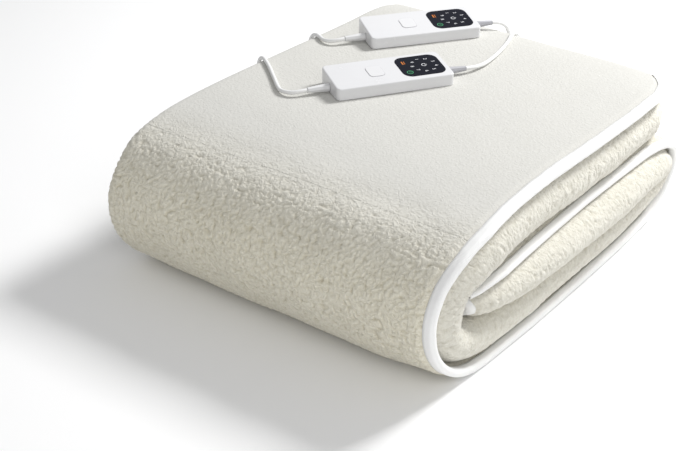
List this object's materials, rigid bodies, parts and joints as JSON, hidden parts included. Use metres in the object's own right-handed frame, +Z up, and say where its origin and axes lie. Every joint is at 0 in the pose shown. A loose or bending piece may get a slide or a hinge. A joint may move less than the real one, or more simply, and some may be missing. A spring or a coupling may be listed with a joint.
{
  "type": "electric underblanket, folded, with two hand controllers",
  "caption": "Long-fleece heated underblanket with a white bound edge, folded into a thick pack, with its slim hand controllers and their leads on top.",
  "frame": {"origin": "on the floor under the middle of the folded pack", "axes": "+X along the front fold towards the pack's open bound end, +Y from the front fold to the back, +Z up"},
  "size_m": [0.5194, 0.5217, 0.1841],
  "materials": {
    "fleece": "curly long-pile fleece, smoother and paler on the top face",
    "binding_tape": "white woven tape, stitched",
    "controller_white": "white satin gloss",
    "display_black": "black gloss display window",
    "relief_grey": "light grey moulded rubber",
    "lead_white": "white flexible sheath",
    "pin_metal": "plated metal"
  },
  "bodies": {
    "pack": {"blanket_cloth": "fleece", "binding_right_edge": "binding_tape", "binding_tucked_edge": "binding_tape", "binding_back_hem": "binding_tape", "binding_front_hem": "binding_tape", "case_front": "controller_white", "screen_front": "display_black", "relief_mains_front": "relief_grey", "relief_blanket_front": "relief_grey", "case_rear": "controller_white", "screen_rear": "display_black", "relief_mains_rear": "relief_grey", "relief_blanket_rear": "relief_grey", "lead_mains_front": "lead_white", "coil_mains_front": "lead_white", "plug_mains_front": "lead_white", "plug_relief_mains_front": "lead_white", "plug_pin_left_mains_front": "pin_metal", "plug_pin_right_mains_front": "pin_metal", "lead_mains_rear": "lead_white", "coil_mains_rear": "lead_white", "plug_mains_rear": "lead_white", "plug_relief_mains_rear": "lead_white", "plug_pin_left_mains_rear": "pin_metal", "plug_pin_right_mains_rear": "pin_metal", "lead_blanket_front": "lead_white", "inlet_blanket_front": "relief_grey", "lead_blanket_rear": "lead_white", "inlet_blanket_rear": "relief_grey"},
    "front_button": {"button_front": "controller_white"},
    "rear_button": {"button_rear": "controller_white"}
  },
  "joints": [
    {"name": "front_button_press", "type": "slide", "parent": "pack", "child": "front_button", "axis": [0.1007, -0.0549, 0.9934], "range_m": [-0.0008, 0], "stiffness_N_per_m": 800},
    {"name": "rear_button_press", "type": "slide", "parent": "pack", "child": "rear_button", "axis": [0.1155, -0.0721, 0.9907], "range_m": [-0.0008, 0], "stiffness_N_per_m": 800}
  ]
}
